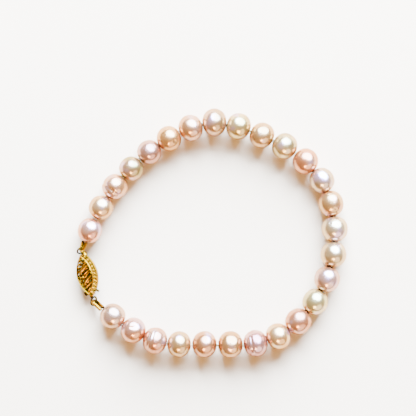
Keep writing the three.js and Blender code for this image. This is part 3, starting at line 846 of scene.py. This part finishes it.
def ring_wire(contact, foot, across, along, tilt, lean, wide):
    """An oval ring of wire through the contact, on its far side from the pull."""
    pull, flat = pull_of(contact, foot)
    swing = Matrix.Rotation(math.radians(lean), 3, pull.cross(flat))
    back = swing @ pull
    lie = Matrix.Rotation(math.radians(tilt), 3, back) @ (swing @ flat)
    middle = contact - back * along / 2
    points = []
    for k in range(WIRE_STEPS):
        t = 2 * math.pi * k / WIRE_STEPS
        points.append(middle + back * math.cos(t) * along / 2 + lie * math.sin(t) * across / 2)
    return strand(points, wide, closed=True, roundness=2)


ring_loop = ring_wire(
    contact_top, foot_top, RING_ACROSS, RING_ACROSS, RING_TILT, RING_LEAN, RING_WIRE
)
ring_loop.data.transform(clasp_place.inverted())
print("ring drawn")


# %% Add the neck, the catch bar and the peg
NECK_WIDE, NECK_NARROW = 0.78 * MM, 0.34 * MM
NECK_LENGTH = 0.95 * MM
NECK_MIDDLE = (-5.45 * MM, 0.5 * MM, 0)
NECK_BEVEL = 0.12 * MM
# each rod's two ends and its thickness, in millimetres
CATCH_BAR = ((2.84, -2.0, 0), (2.84, 2.0, 0), 0.46)
PEG = ((3.92, 1.27, 0), (4.77, 2.18, 0), 0.58)


def clasp_rod(a, b, wide):
    """A straight round rod between two points of the clasp's frame, in millimetres."""
    points = [Vector(a) * MM, (Vector(a) + Vector(b)) * MM / 2, Vector(b) * MM]
    return strand(points, wide * MM, roundness=2)


def neck():
    """A pointed collar that caps the end of the box, narrowing to the ring."""
    deselect()
    bpy.ops.mesh.primitive_cone_add(
        vertices=24,
        radius1=NECK_WIDE,
        radius2=NECK_NARROW,
        depth=NECK_LENGTH,
        location=NECK_MIDDLE,
        rotation=(0, -math.pi / 2, 0),
    )
    collar = bpy.context.object
    bpy.ops.object.transform_apply(location=True, rotation=True, scale=True)
    bpy.ops.object.mode_set(mode="EDIT")
    bpy.ops.mesh.select_all(action="SELECT")
    bpy.ops.mesh.bevel(offset=NECK_BEVEL, segments=3)
    bpy.ops.object.mode_set(mode="OBJECT")
    return collar


catch_bar, peg = clasp_rod(*CATCH_BAR), clasp_rod(*PEG)
bright = [*rims, *gallery, *grains, *faces, neck(), catch_bar]
# the ring and the peg take the darker gold, whose dark base colour is painted shade
shade_darkened = [ring_loop, peg]
for pieces, metal in ((bright, yellow_gold), (shade_darkened, shade_darkened_gold)):
    for piece in pieces:
        piece.data.materials.append(metal)
body = join([*bright, *shade_darkened])
for spare in (ring, grain, bead):
    bpy.data.objects.remove(spare)
body.data.transform(clasp_place)
keep(body, "filigree_box", None, "gold", "clasp_body")
print("clasp body triangles:", sum(len(p.vertices) - 2 for p in body.data.polygons))

# %% [markdown]
# ## The hook
# The hook is folded from gold strip, with a thumb tab at its side and an eye of wire at its
# end. The CAD node already has its folded shape, so its leaves, fold and tab are plates of
# the same sizes, with their edges bevelled so that they catch the light, and the eye is
# round wire.


# %% Cut the hook's leaves and draw its eye
def plate(outline, low, high, bevel):
    """A flat plate of this outline, extruded up and bevelled, all in millimetres."""
    deselect()
    count = len(outline)
    mesh = bpy.data.meshes.new("plate")
    mesh.from_pydata([(x * MM, y * MM, low * MM) for x, y in outline], [], [list(range(count))])
    made = bpy.data.objects.new("plate", mesh)
    bpy.context.collection.objects.link(made)
    made.select_set(True)
    bpy.context.view_layer.objects.active = made
    bpy.ops.object.mode_set(mode="EDIT")
    bpy.ops.mesh.select_all(action="SELECT")
    bpy.ops.mesh.extrude_region_move(TRANSFORM_OT_translate={"value": (0, 0, (high - low) * MM)})
    bpy.ops.mesh.select_all(action="SELECT")
    bpy.ops.mesh.normals_make_consistent(inside=False)
    bpy.ops.object.mode_set(mode="OBJECT")
    edge = made.modifiers.new("Bevel", "BEVEL")
    edge.width = bevel * MM
    edge.segments = 3
    bpy.ops.object.modifier_apply(modifier=edge.name)
    return made


LEAF_TOP, LEAF_INNER = 0.67, 0.39
LEAF_BEVEL, TAB_BEVEL = 0.06, 0.1
TAB_PROUD = 0.02
LOWER_LEAF = [
    (1.61, -0.5),
    (3.4, -0.5),
    (3.3, -2.2),
    (3.62, -2.28),
    (4.1, -1.7),
    (4.54, -1.3),
    (5.95, -0.75),
    (6.2, -0.5),
    (5.95, -0.25),
    (4.54, 0.3),
    (1.61, 0.3),
]
UPPER_LEAF = [(1.61, -0.5), (4.54, -0.5), (4.54, 0.3), (1.61, 0.3)]
FOLD = [(1.61, -0.5), (1.89, -0.5), (1.89, 0.3), (1.61, 0.3)]
TAB = [(4.15, -1.1), (4.2, -2.1), (4.42, -2.35), (5.1, -2.1), (5.3, -1.85), (5.05, -0.85)]
leaves = [
    plate(LOWER_LEAF, -LEAF_TOP, -LEAF_INNER, LEAF_BEVEL),
    plate(UPPER_LEAF, LEAF_INNER, LEAF_TOP, LEAF_BEVEL),
    plate(FOLD, -LEAF_TOP, LEAF_TOP, LEAF_BEVEL),
    plate(TAB, -LEAF_TOP - TAB_PROUD, -LEAF_INNER + TAB_PROUD, TAB_BEVEL),
]
print("hook leaves:", len(leaves))

# %% Make the hook
eye = ring_wire(contact_low, foot_low, EYE_ACROSS, EYE_ALONG, EYE_TILT, 0, EYE_WIRE)
eye.data.transform(clasp_place.inverted())
hook = join([*leaves, eye], smooth_angle=35)
hook.data.transform(clasp_place)
# the hook takes the darker gold too, whose dark base colour is painted shade
keep(hook, "folded_hook", shade_darkened_gold, "gold", "clasp_hook")
print("hook made")

# %% [markdown]
# ## Gimp
# Gimp, or French wire, is a tube coiled from very fine wire. It covers the silk where it
# turns round the clasp's ring and eye. The coil is made with the Screw modifier from the
# round section of its wire, and then bent along the loop with the Curve modifier.


# %% Coil the gimp and bend it into loops
GIMP = 0.9 * MM
GIMP_WIRE = 0.17 * MM
COIL_STEPS = 14
ROUND_RING, ROUND_EYE = 0.32 * MM, 0.38 * MM
CLEAR = 0.08 * MM
MIDDLE_SHARE = 0.55
CORNER_SHARE = 0.8
BACK_SHARE = 1.1


def coil_along(points):
    """A close coil of wire bent along a curve that follows these points."""
    deselect()
    path = bpy.data.curves.new("path", "CURVE")
    path.dimensions = "3D"
    spline = path.splines.new("NURBS")
    spline.points.add(len(points) - 1)
    for i, point in enumerate(points):
        spline.points[i].co = (*point, 1)
    spline.order_u = 3
    spline.use_endpoint_u = True
    spline.resolution_u = 12
    guide = bpy.data.objects.new("path", path)
    bpy.context.collection.objects.link(guide)
    length = sum(s.calc_length() for s in path.splines)
    turns = round(length / GIMP_WIRE)
    bpy.ops.mesh.primitive_circle_add(
        vertices=6,
        radius=GIMP_WIRE / 2,
        location=(0, 0, (GIMP - GIMP_WIRE) / 2),
        rotation=(0, math.pi / 2, 0),
    )
    coil = bpy.context.object
    bpy.ops.object.transform_apply(location=True, rotation=True, scale=True)
    coil.data.transform(Matrix.Rotation(math.pi / 2, 4, "Z"))
    screw = coil.modifiers.new("Screw", "SCREW")
    screw.axis = "X"
    screw.angle = 2 * math.pi
    screw.screw_offset = length / turns
    screw.iterations = turns
    screw.steps = screw.render_steps = COIL_STEPS
    bend = coil.modifiers.new("Curve", "CURVE")
    bend.object = guide
    bend.deform_axis = "POS_X"
    bpy.ops.object.modifier_apply(modifier=screw.name)
    bpy.ops.object.modifier_apply(modifier=bend.name)
    bpy.data.objects.remove(guide)
    return coil


def gimp_loop(contact, foot, tilt, wide):
    """From the pearl, round a wire this wide at the contact, and back beside itself."""
    pull, flat = pull_of(contact, foot)
    stand = Matrix.Rotation(math.radians(tilt + 90), 3, pull) @ flat
    if stand.dot(flat) < 0:
        stand.negate()
    bend = wide / 2 + CLEAR + GIMP / 2
    apart = GIMP / 2
    middle = contact.lerp(foot, MIDDLE_SHARE)
    spread = (flat + stand).normalized()
    corner = bend * CORNER_SHARE
    points = [
        foot + flat * apart,
        middle + spread * apart,
        contact + stand * bend,
        contact + stand * corner - pull * corner,
        contact - pull * bend * BACK_SHARE,
        contact - stand * corner - pull * corner,
        contact - stand * bend,
        middle - spread * apart,
        foot - flat * apart,
    ]
    return coil_along(points)


gimps = [
    gimp_loop(contact_top, foot_top, RING_TILT, ROUND_RING),
    gimp_loop(contact_low, foot_low, EYE_TILT, ROUND_EYE),
]
# the coil's dark colour is painted shade, mixed into its recesses by the occlusion
gimp_gold = gold("gimp_gold", "#c08400", "#2a1400", 0.2)
for coil, name in zip(gimps, ("gimp_top", "gimp_bottom")):
    join([coil])
    keep(coil, f"coil_{name}", gimp_gold, "gold_gimp", name)
print("coils:", [len(c.data.polygons) for c in gimps])

# %% [markdown]
# ## Table, light and camera
# The bracelet lies on a plain pale table beside a large soft window past the picture's top
# edge, in a warm room that fills the shadows. A pearl is a mirror, and what it mirrors is
# most of its look: a large soft patch of sky light near the top, a small warm lamp below, and
# the pale table round its edge. One window can't place that patch and throw shadows of the
# right length too. So the window lights the matt surfaces only, and four more lights, which
# only the glossy ones see, stand where the pearls mirror them. The camera looks straight down
# through a long lens.


# %% Lay the table
def table_paint():
    """Matt cream paint with the faintest clouds, which the bluish window turns to white."""
    material = new_material("matt_white_table")
    where = node(material, "ShaderNodeTexCoord").outputs["Object"]
    cloud = node(
        material, "ShaderNodeTexNoise", {"Scale": 12.0, "Detail": 2.0}, {"Vector": where}
    )
    tint = ramp(material, cloud.outputs["Fac"], [(0.3, "#f8e5ca"), (0.7, "#fae8cf")])
    return surface(material, {"Roughness": 0.8, "Specular IOR Level": 0.1}, {"Base Color": tint})


TABLE_SIZE = 1.6
TABLE_GAP = 0.02 * MM
deselect()
bpy.ops.mesh.primitive_plane_add(size=TABLE_SIZE, location=(0, 0, -TABLE_GAP))
table = bpy.context.object
table.name = "table"
table.data.materials.append(table_paint())
print("table laid")


# %% Hang the lights
def soft_light(name, off_zenith, azimuth, distance, width, height, watts, colour, lights):
    """A soft box at this angle off the zenith; azimuth 0 is the picture's top edge.

    It lights "matt" surfaces, or the "gloss" of polished ones.
    """
    a, e = math.radians(azimuth), math.radians(off_zenith)
    way = Vector((math.sin(a) * math.sin(e), math.cos(a) * math.sin(e), math.cos(e)))
    lamp = bpy.data.lights.new(name, "AREA")
    lamp.shape = "ELLIPSE" if lights == "gloss" else "RECTANGLE"
    lamp.size, lamp.size_y = width, height
    lamp.energy = watts
    lamp.color = linear(colour)[:3]
    made = bpy.data.objects.new(name, lamp)
    made.location = way * distance
    made.rotation_mode = "QUATERNION"
    made.rotation_quaternion = (-way).to_track_quat("-Z", "Y")
    made.visible_diffuse = lights == "matt"
    made.visible_glossy = lights == "gloss"
    bpy.context.collection.objects.link(made)
    return made


# name, degrees off zenith, azimuth, distance, width, height, watts, colour, what it lights
soft_light("window", 60, 10, 0.85, 0.78, 0.66, 203, "#d6e7ff", "matt")
soft_light("gleam", 48, 17, 0.7, 1.05, 0.92, 240, "#98beff", "gloss")
soft_light("sky", 24, 20, 0.8, 1.1, 0.8, 7, "#b0c0ff", "gloss")
soft_light("lamp", 45, 182, 0.6, 0.17, 0.14, 3.8, "#ffdcb0", "gloss")
soft_light("card", 58, 150, 0.6, 0.6, 0.5, 3.6, "#f8f0f0", "gloss")
ROOM_COLOUR, ROOM_STRENGTH = "#d6ae70", 1.35
world = bpy.data.worlds.new("room")
world.use_nodes = True
background = world.node_tree.nodes["Background"]
background.inputs["Color"].default_value = linear(ROOM_COLOUR)
background.inputs["Strength"].default_value = ROOM_STRENGTH
bpy.context.scene.world = world

# %% Set up the camera
PIXELS = 416
PIXELS_PER_MM = 3.927
LOOKS_AT = Vector((-1.02, 6.40, 3.3)) * MM
LENS, SENSOR = 150, 36
camera_data = bpy.data.cameras.new("camera")
camera_data.lens = LENS
camera_data.sensor_width = SENSOR
camera = bpy.data.objects.new("camera", camera_data)
seen_width = PIXELS / PIXELS_PER_MM * MM
camera.location = LOOKS_AT + Vector((0, 0, seen_width * LENS / SENSOR))
bpy.context.collection.objects.link(camera)
bpy.context.scene.camera = camera
print("camera height, mm:", round(camera.location.z / MM, 1))
